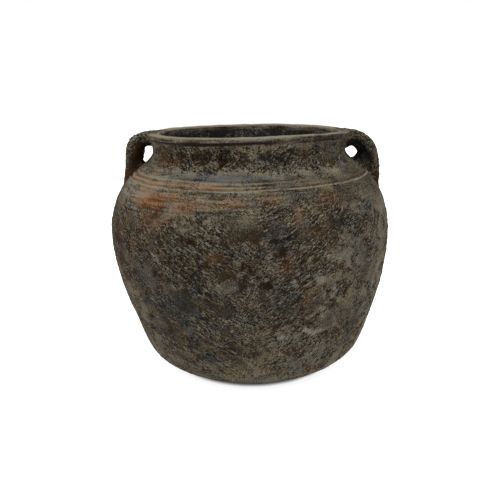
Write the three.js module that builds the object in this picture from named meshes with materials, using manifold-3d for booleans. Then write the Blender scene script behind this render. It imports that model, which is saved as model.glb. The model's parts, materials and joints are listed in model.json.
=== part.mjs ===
// A two-handled earthenware garden pot, as the clay pieces that a potter lutes together before firing:
// a floor dish, a heel coil, the rings that the wall is built up from, a neck collar, a rim coil, and two
// strap handles whose ends are worked onto the body with soft clay. Millimetres, +Z up. The origin is the
// centre of the flat underside, and the handles lie along X.

import * as THREE from "three";
import { mergeVertices } from "three/addons/utils/BufferGeometryUtils.js";
import Module from "manifold-3d";

const wasm = await Module();
wasm.setup();

// Body: outer radius at each level, and the rise from the level below it
const BASE_RADIUS = 78;
const HEEL_RADIUS = 117;
const HEEL_RISE = 20;
const BELLY_RADIUS = 150;
const BELLY_RISE = 127;
const SHOULDER_RADIUS = 122;
const SHOULDER_RISE = 65.5;
const SHOULDER_SLOPE = THREE.MathUtils.degToRad(35);
const NECK_RADIUS = 102;
const NECK_RISE = 20;
const RIM_RISE = 19.5;

// How long each stretch of the outline keeps the direction it starts or ends in, as a share of its rise
const HEEL_FLATNESS = 0.58;
const HEEL_LIFT = 0.16;
const ABOVE_HEEL = 0.11;
const BELOW_BELLY = 0.35;
const ABOVE_BELLY = 0.43;
const BELOW_SHOULDER = 0.28;
const ABOVE_SHOULDER = 0.5;
const BELOW_NECK = 0.3;
const ABOVE_NECK = 0.5;
const LIP_FLARE_START = 0.85;
const LIP_FLARE_SHARE = 0.2;

// Clay thicknesses and openings
const WALL_THICKNESS = 11;
const FLOOR_THICKNESS = 12;
const DRAIN_HOLE_RADIUS = 11;

// Rim coil: a lip that stands out past the neck, over a crest that falls towards the mouth
const RIM_COIL_DEPTH = 10;
const LIP_OVERHANG = 4.5;
const LIP_DEPTH = 5;
const LIP_EDGE = 2.8;
const MOUTH_FALL = 3.5;

// Luted joints: each ring ends in a V ridge that fits a V groove, with a film of slip between
const SLIP_FILM = 0.3;
const RIDGE_HEIGHT = 3.5;
const FLOOR_JOINT_BELOW_HEEL = 7;
const NECK_JOINT_ABOVE_SHOULDER = 6;

// The rings of clay that the wall is built up from, all of one height
const WALL_RINGS = ["heel_ring", "lower_ring", "belly_ring", "upper_ring", "shoulder_ring"];

// Heel coil: clay worked over the seam between floor and wall, inside
const COIL_THICKNESS = 6;
const COIL_REACH = 7;

// Two lines cut round the shoulder
const LINE_SPACING = 2.8;
const LINE_WIDTH = 1.6;
const LINE_DEPTH = 1;

// Strap handles, made by hand and so not quite alike. The top run is how far past the neck the strap heads
// out level, and the bow is the radius that it bends out towards before it comes in to the shoulder.
const LEFT_TOP_DROP = 0.2;
const LEFT_TOP_RUN = 25;
const LEFT_BOW = 122.5;
const LEFT_FOOT_DROP = 18;
const RIGHT_TOP_DROP = 0.8;
const RIGHT_TOP_RUN = 21;
const RIGHT_BOW = 135;
const RIGHT_FOOT_DROP = 21;
const STRAP_WIDTH = 42;
const STRAP_THICKNESS = 15;
const STRAP_SQUARENESS = 0.75;
const STRAP_CORNER_RISE = 26;
const LUTING_FLARE = 4.5;
const LUTING_EDGE = 1.2;
const LUTING_LENGTH = 7;

// Facets
const TURN_FACETS = 48;
const CURVE_STEPS = 7;
const RIM_STEPS = 4;
const STRAP_FACETS = 16;
const STRAP_STEPS = 18;
const LUTING_STEPS = 6;
const CROSSING_STEPS = 200;

const HANDLES = [
  {
    side: "left",
    turn: Math.PI,
    topDrop: LEFT_TOP_DROP,
    topRun: LEFT_TOP_RUN,
    bow: LEFT_BOW,
    footDrop: LEFT_FOOT_DROP,
  },
  {
    side: "right",
    turn: 0,
    topDrop: RIGHT_TOP_DROP,
    topRun: RIGHT_TOP_RUN,
    bow: RIGHT_BOW,
    footDrop: RIGHT_FOOT_DROP,
  },
];

// Levels that follow from the rises
const HEEL_HEIGHT = HEEL_RISE;
const BELLY_HEIGHT = HEEL_HEIGHT + BELLY_RISE;
const SHOULDER_HEIGHT = BELLY_HEIGHT + SHOULDER_RISE;
const NECK_HEIGHT = SHOULDER_HEIGHT + NECK_RISE;
const RIM_HEIGHT = NECK_HEIGHT + RIM_RISE;
const LIP_RADIUS = NECK_RADIUS + LIP_OVERHANG;
const LIP_HEIGHT = RIM_HEIGHT - LIP_DEPTH;
const FLOOR_JOINT = HEEL_HEIGHT - FLOOR_JOINT_BELOW_HEEL;
const NECK_JOINT = SHOULDER_HEIGHT + NECK_JOINT_ABOVE_SHOULDER;
const RIM_JOINT = RIM_HEIGHT - RIM_COIL_DEPTH;
const RING_RISE = (NECK_JOINT - FLOOR_JOINT) / WALL_RINGS.length;

const at = (radius, height) => new THREE.Vector2(radius, height);

// The pot's outer outline, from the edge of the underside to the underside of the lip, as curves that
// meet in one direction at the heel, belly, shoulder and neck
function outerCurves() {
  const base = at(BASE_RADIUS, 0);
  const heel = at(HEEL_RADIUS, HEEL_HEIGHT);
  const belly = at(BELLY_RADIUS, BELLY_HEIGHT);
  const shoulder = at(SHOULDER_RADIUS, SHOULDER_HEIGHT);
  const neck = at(NECK_RADIUS, NECK_HEIGHT);
  const lip = at(LIP_RADIUS, LIP_HEIGHT);
  const heelControl = at(lerp(BASE_RADIUS, HEEL_RADIUS, HEEL_FLATNESS), HEEL_RISE * HEEL_LIFT);
  const heelWay = heel.clone().sub(heelControl).normalize();
  const shoulderWay = at(-Math.cos(SHOULDER_SLOPE), Math.sin(SHOULDER_SLOPE));
  return [
    new THREE.QuadraticBezierCurve(base, heelControl, heel),
    new THREE.CubicBezierCurve(
      heel,
      heel.clone().addScaledVector(heelWay, BELLY_RISE * ABOVE_HEEL),
      at(BELLY_RADIUS, BELLY_HEIGHT - BELLY_RISE * BELOW_BELLY),
      belly,
    ),
    new THREE.CubicBezierCurve(
      belly,
      at(BELLY_RADIUS, BELLY_HEIGHT + SHOULDER_RISE * ABOVE_BELLY),
      shoulder.clone().addScaledVector(shoulderWay, -SHOULDER_RISE * BELOW_SHOULDER),
      shoulder,
    ),
    new THREE.CubicBezierCurve(
      shoulder,
      shoulder.clone().addScaledVector(shoulderWay, NECK_RISE * ABOVE_SHOULDER),
      at(NECK_RADIUS, NECK_HEIGHT - NECK_RISE * BELOW_NECK),
      neck,
    ),
    new THREE.CubicBezierCurve(
      neck,
      at(NECK_RADIUS, lerp(NECK_HEIGHT, LIP_HEIGHT, ABOVE_NECK)),
      at(
        lerp(NECK_RADIUS, LIP_RADIUS, LIP_FLARE_SHARE),
        lerp(NECK_HEIGHT, LIP_HEIGHT, LIP_FLARE_START),
      ),
      lip,
    ),
  ];
}

function lerp(a, b, share) {
  return a + (b - a) * share;
}

// Points along the outline, each with the direction that it runs in
const OUTLINE = outerCurves().flatMap((curve, index, all) => {
  const last = index === all.length - 1 ? 1 : 0;
  return Array.from({ length: CURVE_STEPS + last }, (_, step) => ({
    point: curve.getPoint(step / CURVE_STEPS),
    way: curve.getTangent(step / CURVE_STEPS),
  }));
});

// The outline where it passes a height
function outlineAt(height) {
  const above = OUTLINE.findIndex((sample) => sample.point.y >= height);
  const next = Math.max(above, 1);
  const [low, high] = [OUTLINE[next - 1], OUTLINE[next]];
  const share = (height - low.point.y) / (high.point.y - low.point.y);
  return {
    point: low.point.clone().lerp(high.point, share),
    way: low.way.clone().lerp(high.way, share).normalize(),
  };
}

// The outline between two heights, with a sample on each of them
function outlineBetween(low, high) {
  const inside = OUTLINE.filter(({ point }) => point.y > low && point.y < high);
  return [outlineAt(low), ...inside, outlineAt(high)];
}

// A sample's point moved into the clay by a depth, square to the surface
function into({ point, way }, depth) {
  return at(point.x - way.y * depth, point.y + way.x * depth);
}

// A joint's section from the outer face to the inner one: a V ridge that points up the wall
function jointLine(height, lift) {
  const sample = outlineAt(height);
  const ridge = into(sample, WALL_THICKNESS / 2).addScaledVector(sample.way, RIDGE_HEIGHT);
  const line = [into(sample, 0), ridge, into(sample, WALL_THICKNESS)];
  return line.map((point) => point.addScaledVector(sample.way, lift));
}

// The faces of a ring strictly between two joints
function facesBetween(low, high) {
  const samples = outlineBetween(low, high).slice(1, -1);
  const clear = (sample) => sample.point.y - low > SLIP_FILM && high - sample.point.y > SLIP_FILM;
  const kept = samples.filter(clear);
  return {
    outside: kept.map((sample) => into(sample, 0)),
    inside: kept.map((sample) => into(sample, WALL_THICKNESS)).reverse(),
  };
}

// A solid turned about Z from a closed section that runs up the outside and down the inside
function turned(section) {
  const geometry = new THREE.LatheGeometry([...section, section[0]], TURN_FACETS);
  return geometry.rotateX(Math.PI / 2);
}

// A ring of wall between two joints, plain outside unless another outer face is given
function wallRing(low, high, face) {
  const { outside, inside } = facesBetween(low, high);
  return turned([
    ...jointLine(low, SLIP_FILM).reverse(),
    ...(face ?? outside),
    ...jointLine(high, 0),
    ...inside,
  ]);
}

function floorDish() {
  const heel = outlineBetween(0, FLOOR_JOINT).slice(0, -1);
  const inside = heel.map((sample) => into(sample, WALL_THICKNESS));
  return turned([
    at(DRAIN_HOLE_RADIUS, 0),
    ...heel.map((sample) => into(sample, 0)),
    ...jointLine(FLOOR_JOINT, 0),
    ...inside.filter((point) => point.y > FLOOR_THICKNESS).reverse(),
    at(BASE_RADIUS, FLOOR_THICKNESS),
    at(DRAIN_HOLE_RADIUS, FLOOR_THICKNESS),
  ]);
}

// A crescent of clay over the inside of the floor seam, with feathered edges
function heelCoil() {
  const samples = outlineBetween(FLOOR_JOINT - COIL_REACH, FLOOR_JOINT + COIL_REACH);
  const seat = samples.map((sample) => into(sample, WALL_THICKNESS + SLIP_FILM));
  const crown = samples.slice(1, -1).map((sample, index) => {
    const bulge = Math.sin((Math.PI * (index + 1)) / (samples.length - 1));
    return into(sample, WALL_THICKNESS + SLIP_FILM + COIL_THICKNESS * bulge);
  });
  return turned([...seat, ...crown.reverse()]);
}

// The outer face of the shoulder ring, with the two lines cut into it
function linedShoulder(low) {
  const lines = [-0.5, 0.5].map((place) => SHOULDER_HEIGHT + place * LINE_SPACING);
  const onLine = ({ y }) => lines.some((height) => Math.abs(y - height) <= LINE_WIDTH / 2);
  const plain = facesBetween(low, NECK_JOINT).outside.filter((point) => !onLine(point));
  const cuts = lines.flatMap((height) => [
    into(outlineAt(height - LINE_WIDTH / 2), 0),
    into(outlineAt(height), LINE_DEPTH),
    into(outlineAt(height + LINE_WIDTH / 2), 0),
  ]);
  return [...plain, ...cuts].sort((a, b) => a.y - b.y);
}

function rimCoil() {
  const [outer, ridge, inner] = jointLine(RIM_JOINT, SLIP_FILM);
  const lipFace = outlineBetween(RIM_JOINT, LIP_HEIGHT).slice(1);
  const mouth = at(inner.x, RIM_HEIGHT - MOUTH_FALL);
  const crest = at(NECK_RADIUS, RIM_HEIGHT);
  const edge = at(LIP_RADIUS, LIP_HEIGHT + LIP_EDGE);
  const overLip = new THREE.QuadraticBezierCurve(edge, at(LIP_RADIUS, RIM_HEIGHT), crest);
  const overMouth = new THREE.QuadraticBezierCurve(crest, at(inner.x, RIM_HEIGHT), mouth);
  return turned([
    inner,
    ridge,
    outer,
    ...lipFace.map((sample) => into(sample, 0)),
    ...overLip.getPoints(RIM_STEPS),
    ...overMouth.getPoints(RIM_STEPS).slice(1),
  ]);
}

// The strap's middle line in the plane of X and Z: out level from the rim, round a corner, and down to the
// shoulder. It starts and ends inside the wall, where the body cuts it off.
function strapLine({ topDrop, topRun, bow, footDrop }) {
  const top = RIM_HEIGHT - topDrop - STRAP_THICKNESS / 2;
  const foot = outlineAt(SHOULDER_HEIGHT - footDrop);
  return new THREE.CubicBezierCurve(
    at(NECK_RADIUS - WALL_THICKNESS / 2, top),
    at(NECK_RADIUS + topRun, top),
    at(bow, SHOULDER_HEIGHT + STRAP_CORNER_RISE),
    into(foot, WALL_THICKNESS),
  );
}

// A band of rounded section along part of a middle line. The section is grown by a margin at each step,
// on its sides and inner face, and on its outer face too where that is asked for.
function band(line, from, to, steps, marginAt, growsOutward) {
  const positions = [];
  for (let step = 0; step <= steps; step += 1) {
    const share = lerp(from, to, step / steps);
    const middle = line.getPoint(share);
    const way = line.getTangent(share);
    const margin = marginAt(share);
    for (let facet = 0; facet < STRAP_FACETS; facet += 1) {
      const angle = (2 * Math.PI * facet) / STRAP_FACETS;
      const round = (value) => Math.sign(value) * Math.abs(value) ** STRAP_SQUARENESS;
      const outward = Math.cos(angle) > 0;
      const depth = STRAP_THICKNESS / 2 + (outward && !growsOutward ? 0 : margin);
      const through = depth * round(Math.cos(angle));
      const across = (STRAP_WIDTH / 2 + margin) * round(Math.sin(angle));
      positions.push(middle.x - way.y * through, across, middle.y + way.x * through);
    }
  }
  return closedTube(positions, steps);
}

// A tube through rings of STRAP_FACETS points, closed by a fan at each end
function closedTube(positions, steps) {
  const indices = [];
  for (let step = 0; step < steps; step += 1) {
    for (let facet = 0; facet < STRAP_FACETS; facet += 1) {
      const next = (facet + 1) % STRAP_FACETS;
      const [a, b] = [step * STRAP_FACETS + facet, step * STRAP_FACETS + next];
      const [c, d] = [a + STRAP_FACETS, b + STRAP_FACETS];
      indices.push(a, c, b, b, c, d);
    }
  }
  const lastRing = steps * STRAP_FACETS;
  for (let facet = 1; facet < STRAP_FACETS - 1; facet += 1) {
    indices.push(0, facet, facet + 1);
    indices.push(lastRing, lastRing + facet + 1, lastRing + facet);
  }
  const geometry = new THREE.BufferGeometry();
  geometry.setAttribute("position", new THREE.Float32BufferAttribute(positions, 3));
  return geometry.setIndex(indices);
}

function solidOf(geometry) {
  const bare = geometry.clone();
  bare.deleteAttribute("normal");
  bare.deleteAttribute("uv");
  const merged = mergeVertices(bare);
  const vertProperties = merged.attributes.position.array;
  const triVerts = new Uint32Array(merged.index.array);
  return new wasm.Manifold(new wasm.Mesh({ numProp: 3, vertProperties, triVerts }));
}

function geometryOf(solid) {
  const { vertProperties, triVerts } = solid.getMesh();
  const geometry = new THREE.BufferGeometry();
  geometry.setAttribute("position", new THREE.BufferAttribute(vertProperties, 3));
  return geometry.setIndex(new THREE.BufferAttribute(triVerts, 1));
}

// The space that the body takes up, a film of slip larger, filled in to the axis and carried straight up
// from the lip so that nothing laps over the rim
function bodySpace() {
  const skin = OUTLINE.map((sample) => into(sample, -SLIP_FILM));
  const lip = at(LIP_RADIUS + SLIP_FILM, LIP_HEIGHT);
  const top = RIM_HEIGHT + STRAP_THICKNESS;
  const section = [at(0, -1), at(BASE_RADIUS, -1), ...skin, lip, at(lip.x, top), at(0, top)];
  return solidOf(new THREE.LatheGeometry(section, TURN_FACETS).rotateX(Math.PI / 2));
}

// The share of a strap's middle line, counted from the rim, where it leaves or meets the body
function bodyCrossings(line) {
  const shares = Array.from({ length: CROSSING_STEPS + 1 }, (_, step) => step / CROSSING_STEPS);
  const free = shares.filter((share) => {
    const { x, y } = line.getPoint(share);
    return x > (y > LIP_HEIGHT ? LIP_RADIUS : outlineAt(y).point.x);
  });
  return { leaves: free[0], meets: free[free.length - 1] };
}

// Soft clay worked round one end of a strap: widest where the strap meets the body, thin where it runs out
function luting(line, body, end, seat) {
  const reach = LUTING_LENGTH / line.getLength();
  const runOut = end < seat ? seat + reach : seat - reach;
  const spread = (share) => THREE.MathUtils.clamp((runOut - share) / (runOut - seat), 0, 1);
  const flare = (share) => lerp(LUTING_EDGE, LUTING_FLARE, spread(share));
  const [from, to] = [Math.min(end, runOut), Math.max(end, runOut)];
  const clay = solidOf(band(line, from, to, LUTING_STEPS, flare, false));
  const strap = solidOf(band(line, 0, 1, STRAP_STEPS, () => SLIP_FILM, true));
  return geometryOf(largest(clay.subtract(strap.add(body))));
}

function largest(solid) {
  return solid.decompose().sort((a, b) => b.volume() - a.volume())[0];
}

// Colours of the fired clay, which is matt everywhere
const CLAY_ROUGHNESS = 0.92;
const WALL_CLAY = 0x57504a;
const INNER_CLAY = 0x3a342e;
const HANDLE_CLAY = 0x4d453d;
const LUTING_CLAY = 0x544a40;

function piece(name, geometry, color) {
  const material = new THREE.MeshStandardMaterial({ color, roughness: CLAY_ROUGHNESS, metalness: 0 });
  const mesh = new THREE.Mesh(geometry, material);
  mesh.name = name;
  return mesh;
}

function handle(shape, body) {
  const line = strapLine(shape);
  const { leaves, meets } = bodyCrossings(line);
  const strap = solidOf(band(line, 0, 1, STRAP_STEPS, () => 0, true)).subtract(body);
  const group = new THREE.Group();
  group.rotation.z = shape.turn;
  group.add(
    piece(`${shape.side}_handle_strap`, geometryOf(largest(strap)), HANDLE_CLAY),
    piece(`${shape.side}_handle_top_luting`, luting(line, body, 0, leaves), LUTING_CLAY),
    piece(`${shape.side}_handle_foot_luting`, luting(line, body, 1, meets), LUTING_CLAY),
  );
  return group;
}

const pot = new THREE.Group();
pot.name = "garden_pot";
pot.add(
  piece("floor_dish", floorDish(), INNER_CLAY),
  piece("heel_coil", heelCoil(), INNER_CLAY),
  piece("neck_collar", wallRing(NECK_JOINT, RIM_JOINT), WALL_CLAY),
  piece("rim_coil", rimCoil(), WALL_CLAY),
);
WALL_RINGS.forEach((name, index) => {
  const low = FLOOR_JOINT + index * RING_RISE;
  const face = index === WALL_RINGS.length - 1 ? linedShoulder(low) : undefined;
  pot.add(piece(name, wallRing(low, low + RING_RISE, face), WALL_CLAY));
});
const body = bodySpace();
HANDLES.forEach((shape) => pot.add(handle(shape, body)));

export default pot;
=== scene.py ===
"""Two-handled earthenware garden pot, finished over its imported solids.

The body is one turned skin, worked into lumps, cut lines, flakes and pits, and parted at the luted joints
so that each ring of clay is a closed piece. Each handle is a strap blended into the body, parted into the
strap and the soft clay worked round its two ends. Lengths are millimetres until a mesh is made.
"""

import json
import math

import bpy
import numpy as np
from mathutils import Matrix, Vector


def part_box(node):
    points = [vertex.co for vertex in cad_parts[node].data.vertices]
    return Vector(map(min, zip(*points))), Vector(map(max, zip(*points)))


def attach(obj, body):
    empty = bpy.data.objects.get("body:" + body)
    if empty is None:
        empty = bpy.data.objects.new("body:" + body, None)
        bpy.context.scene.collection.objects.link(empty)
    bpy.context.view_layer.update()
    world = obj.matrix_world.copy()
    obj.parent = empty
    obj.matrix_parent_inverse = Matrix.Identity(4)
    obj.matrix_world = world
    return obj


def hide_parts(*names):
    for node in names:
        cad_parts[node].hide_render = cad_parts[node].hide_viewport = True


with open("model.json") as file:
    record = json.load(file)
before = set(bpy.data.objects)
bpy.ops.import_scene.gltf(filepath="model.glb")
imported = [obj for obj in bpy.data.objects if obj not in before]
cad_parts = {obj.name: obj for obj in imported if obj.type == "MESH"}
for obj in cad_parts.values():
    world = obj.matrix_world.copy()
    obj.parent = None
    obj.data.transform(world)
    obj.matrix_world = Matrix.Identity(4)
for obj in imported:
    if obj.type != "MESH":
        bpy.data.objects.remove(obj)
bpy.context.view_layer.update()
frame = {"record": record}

import openvdb
from mathutils import Matrix, Vector, kdtree, noise

MM = 0.001


def point(radius, height):
    return np.array((radius, height), float)


def point3(x, y, z):
    return np.array((x, y, z), float)


# Levels of the outline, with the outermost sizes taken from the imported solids
RIM_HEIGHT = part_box("rim_coil")[1].z / MM
LIP_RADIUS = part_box("rim_coil")[1].x / MM
BELLY_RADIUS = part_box("belly_ring")[1].x / MM
DRAIN_RADIUS = 11.0
BASE = point(78, 0)
HEEL = point(117, 20)
BELLY = point(BELLY_RADIUS, 147)
SHOULDER = point(122, 212.5)
NECK = point(102, 232.5)
LIP = point(LIP_RADIUS, RIM_HEIGHT - 5)
LIP_EDGE = point(LIP_RADIUS, RIM_HEIGHT - 2.2)
CREST = point(NECK[0], RIM_HEIGHT)
SHOULDER_SLOPE = math.radians(35)

# Shares of each stretch's rise or reach at which the controls of its curve lie
HEEL_OUT, HEEL_UP = 0.58, 0.16
BELLY_START, BELLY_END = 0.11, 0.35
SHOULDER_START, SHOULDER_END = 0.43, 0.28
NECK_START, NECK_END = 0.5, 0.3
LIP_START, LIP_OUT, LIP_UP = 0.5, 0.2, 0.85

WALL = 11.0
FLOOR = 12.0
MOUTH_FALL = 3.5

# Luted joints, where the body is parted into its pieces
FLOOR_JOINT = 13.0
NECK_JOINT = 218.5
RIM_JOINT = RIM_HEIGHT - 10
RINGS = ("heel_ring", "lower_ring", "belly_ring", "upper_ring", "shoulder_ring")
JOINTS = [*np.linspace(FLOOR_JOINT, NECK_JOINT, len(RINGS) + 1), RIM_JOINT]
RIDGE = 3.5
COIL_THICKNESS = 6.0
COIL_REACH = 7.0
COIL_POINTS = 14
COIL_FILM = 0.3

# How fine the skin is: columns round the pot, and the step between rows
COLUMNS = 960
WALL_STEP = 1.05
LINE_STEP = 0.5
RIM_STEP = 0.9
INSIDE_STEP = 3.0
HIDDEN_STEP = 7.0
LINE_BAND = (205.5, 217.5)
CURVE_POINTS = 90
FACE_POINTS = 200


def bend(controls, count=CURVE_POINTS):
    """Points along a Bezier curve, without its last one."""
    shares = np.linspace(0, 1, count, endpoint=False)[:, None]
    line = list(controls)
    while len(line) > 1:
        line = [a + (b - a) * shares for a, b in zip(line, line[1:])]
    return line[0]


def between(a, b, share):
    return a + (b - a) * share


def outer_outline():
    """The outer outline from the edge of the underside to the underside of the lip."""
    heel_control = point(between(BASE[0], HEEL[0], HEEL_OUT), HEEL[1] * HEEL_UP)
    heel_way = (HEEL - heel_control) / np.linalg.norm(HEEL - heel_control)
    shoulder_way = point(-math.cos(SHOULDER_SLOPE), math.sin(SHOULDER_SLOPE))
    belly_rise = BELLY[1] - HEEL[1]
    shoulder_rise = SHOULDER[1] - BELLY[1]
    neck_rise = NECK[1] - SHOULDER[1]
    lip_rise = LIP[1] - NECK[1]
    return np.vstack([
        bend([BASE, heel_control, HEEL]),
        bend([
            HEEL,
            HEEL + heel_way * belly_rise * BELLY_START,
            BELLY - point(0, belly_rise * BELLY_END),
            BELLY,
        ]),
        bend([
            BELLY,
            BELLY + point(0, shoulder_rise * SHOULDER_START),
            SHOULDER - shoulder_way * shoulder_rise * SHOULDER_END,
            SHOULDER,
        ]),
        bend([
            SHOULDER,
            SHOULDER + shoulder_way * neck_rise * NECK_START,
            NECK - point(0, neck_rise * NECK_END),
            NECK,
        ]),
        bend([
            NECK,
            NECK + point(0, lip_rise * LIP_START),
            point(between(NECK[0], LIP[0], LIP_OUT), between(NECK[1], LIP[1], LIP_UP)),
            LIP,
        ]),
        LIP[None],
    ])


OUTLINE = outer_outline()


def ways_along(line):
    """The direction that a line runs in at each of its points."""
    ways = np.gradient(line, axis=0)
    return ways / np.linalg.norm(ways, axis=1)[:, None]


OUTLINE_WAYS = ways_along(OUTLINE)


def outline_at(height):
    """Points of the outline at some heights, and the direction that it runs in there."""
    heights = np.atleast_1d(height)
    radius = np.interp(heights, OUTLINE[:, 1], OUTLINE[:, 0])
    ways = np.stack([np.interp(heights, OUTLINE[:, 1], OUTLINE_WAYS[:, axis]) for axis in (0, 1)], 1)
    ways /= np.linalg.norm(ways, axis=1)[:, None]
    return np.stack([radius, heights], 1), ways


def into_clay(height, depth):
    """Points a depth into the clay, square to the outline, at some heights of the outline."""
    places, ways = outline_at(height)
    return places + np.stack([-ways[:, 1], ways[:, 0]], 1) * depth


def rim_over():
    """The rim's section from the underside of the lip, over the crest, to the edge of the mouth."""
    mouth = point(into_clay(RIM_JOINT, WALL)[0, 0], RIM_HEIGHT - MOUTH_FALL)
    return np.vstack([
        LIP[None],
        bend([LIP_EDGE, point(LIP_RADIUS, RIM_HEIGHT), CREST]),
        bend([CREST, point(mouth[0], RIM_HEIGHT), mouth]),
        mouth[None],
    ])


def stepped(line, step):
    """Points a step apart along a line, without its last one."""
    lengths = np.r_[0, np.cumsum(np.linalg.norm(np.diff(line, axis=0), axis=1))]
    count = max(1, round(lengths[-1] / step))
    places = np.linspace(0, lengths[-1], count, endpoint=False)
    return np.stack([np.interp(places, lengths, line[:, axis]) for axis in (0, 1)], 1)


def face(low, high, depth=0.0):
    """A wall face between two heights of the outline, as a fine line."""
    return into_clay(np.linspace(low, high, FACE_POINTS), depth)


def body_section():
    """Rows of the body's section, up the outside and down the inside, and the row at each joint's ends."""
    stretches = [(None, np.array([point(DRAIN_RADIUS, 0), BASE]), HIDDEN_STEP)]
    outside = [0.0, *JOINTS]
    for low, high in zip(outside, outside[1:]):
        cuts = [height for height in LINE_BAND if low < height < high]
        for number, (start, end) in enumerate(zip([low, *cuts], [*cuts, high])):
            step = LINE_STEP if start >= LINE_BAND[0] and end <= LINE_BAND[1] else WALL_STEP
            mark = ("out", low) if number == 0 and low > 0 else None
            stretches.append((mark, face(start, end), step))
    stretches.append((("out", RIM_JOINT), np.vstack([face(RIM_JOINT, LIP[1]), rim_over()]), RIM_STEP))
    stretches.append((None, np.vstack([rim_over()[-1:], into_clay(RIM_JOINT, WALL)]), RIM_STEP))
    for high, low in zip(JOINTS[::-1], JOINTS[-2::-1]):
        step = INSIDE_STEP if high > BELLY[1] else HIDDEN_STEP
        stretches.append((("in", high), face(high, low, WALL), step))
    dish = face(FLOOR_JOINT, 0.0, WALL)
    dish = np.vstack([dish[dish[:, 1] > FLOOR], point(DRAIN_RADIUS, FLOOR)[None]])
    stretches.append((("in", FLOOR_JOINT), dish, HIDDEN_STEP))
    stretches.append((None, np.array([point(DRAIN_RADIUS, FLOOR), point(DRAIN_RADIUS, 0)]), HIDDEN_STEP))
    rows, row_at = [], {}
    for mark, line, step in stretches:
        row_at[mark] = sum(len(part) for part in rows)
        rows.append(stepped(line, step))
    return np.vstack(rows), row_at


def turned(section):
    """A section turned round the axis: points by row and column, starting behind the pot."""
    angles = np.linspace(0, 2 * np.pi, COLUMNS, endpoint=False) + np.pi / 2
    radius, height = section[:, 0][:, None], section[:, 1][:, None]
    return np.stack([radius * np.cos(angles), radius * np.sin(angles), height + 0 * angles], 2)


# Smooth noise, patches and masks that the finish is built from


def grain(points, size, seed, octaves=1, stretch=(1, 1, 1)):
    """Smooth noise of about -1 to 1, with bumps of a size in millimetres, stretched if asked."""
    flat = points.reshape(-1, 3) / (size * np.array(stretch)) + 17.3 * seed
    values = [noise.fractal(place, 1.0, 2.0, octaves) for place in flat.tolist()]
    return np.array(values).reshape(points.shape[:-1])


def ease(values, low, high):
    """0 below low, 1 above high, and smooth between."""
    share = np.clip((values - low) / (high - low), 0, 1)
    return share * share * (3 - 2 * share)


def hump(values, middle, half):
    """1 at the middle, falling smoothly to 0 at half a width to either side."""
    return ease(1 - np.abs(values - middle) / half, 0, 1)


def turn_of(points):
    """Degrees round the pot: 0 towards the viewer, positive to the right."""
    return np.degrees(np.arctan2(points[..., 0], -points[..., 1]))


def twisted(points, degrees_per_mm):
    """The points turned about the axis in step with their height, so that noise runs in slanting strokes."""
    angles = np.radians(points[..., 2] * degrees_per_mm)
    x, y = points[..., 0], points[..., 1]
    return np.stack([
        x * np.cos(angles) - y * np.sin(angles),
        x * np.sin(angles) + y * np.cos(angles),
        points[..., 2],
    ], -1)


# Patches on the front, each as turn in degrees, height, half width and half height, and strength
BARE_PATCHES = [
    (-41, 198, 30, 12, 1.0),
    (-26, 196, 28, 9, 0.6),
    (-40, 180, 24, 12, 0.5),
    (-8, 199, 34, 5, 0.5),
    (-57, 164, 9, 8, 0.6),
    (-50, 157, 9, 6, 0.5),
    (-13, 154, 12, 8, 0.38),
    (12, 148, 10, 12, 0.5),
    (18, 188, 7, 8, 0.48),
    (10, 200, 12, 8, 0.45),
    (31, 198, 20, 8, 0.35),
    (25, 176, 16, 8, 0.3),
    (-45, 229, 26, 6, 0.35),
    (22, 112, 9, 12, 0.35),
    (4, 34, 26, 9, 0.4),
]
SOOT_PATCHES = [
    (-27, 103, 42, 34, 0.75),
    (-40, 125, 28, 16, 0.6),
    (-13, 105, 14, 12, 0.6),
    (-19, 45, 10, 9, 0.7),
    (34, 180, 17, 12, 0.42),
    (54, 184, 17, 14, 0.45),
    (9, 168, 16, 18, 0.7),
    (43, 146, 18, 24, 0.4),
    (11, 109, 18, 18, 0.6),
    (46, 68, 18, 22, 0.3),
    (6, 232, 26, 7, 0.6),
    (-14, 217.5, 54, 5, 0.9),
    (-58, 150, 10, 26, 0.3),
]
WORN_PATCHES = [
    (-26, 232, 46, 7, 0.85),
    (2, 231, 32, 6, 0.8),
    (-10, 143, 40, 14, 0.75),
    (4, 172, 22, 10, 0.5),
    (1, 141, 18, 14, 1.3),
    (-15, 152, 20, 10, 1.1),
    (4, 127, 15, 10, 0.8),
    (4, 165, 16, 9, 0.9),
    (-21, 165, 14, 8, 0.4),
    (8, 84, 15, 8, 0.5),
    (2, 60, 12, 14, 0.5),
    (-60, 158, 14, 16, 0.8),
]
PALE_PATCHES = [
    (6, 195, 16, 10, 0.15),
    (19, 71, 28, 12, 1.8),
    (-12, 199, 16, 7, 0.6),
    (22, 138, 16, 11, 0.85),
    (14, 126, 18, 7, 1.0),
    (30, 101, 16, 16, 0.6),
    (44, 190, 16, 9, 0.4),
    (-12, 128, 14, 8, 0.7),
    (-28, 123, 14, 8, 0.6),
    (-12, 183, 14, 13, 0.4),
    (-30, 179, 20, 9, 0.35),
    (28, 45, 16, 9, 0.35),
    (-52, 109, 14, 10, 0.3),
    (34, 146, 20, 16, 0.5),
    (0, 221, 130, 5, 0.55),
    (-20, 135, 30, 16, 0.3),
    (14, 130, 30, 12, 0.35),
]
CRUST_PATCHES = [
    (-22, 148, 62, 34, 1.0),
    (8, 150, 55, 50, 0.95),
    (8, 95, 55, 34, 0.8),
    (-48, 160, 40, 26, 0.9),
    (32, 180, 40, 14, 0.6),
    (14, 72, 40, 14, 0.6),
    (-28, 235, 60, 13, 1.4),
    (15, 235, 50, 12, 0.9),
    (0, 226, 150, 5, 0.7),
]

# How many patches the back has, and the range of their turns, heights, sizes and strengths
BACK_PATCHES = 15
BACK_TURNS = (80, 280)
BACK_HEIGHTS = (30, 235)
BACK_SIZES = (0.5, 1.4)
BACK_STRENGTHS = (0.4, 1.0)

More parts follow.
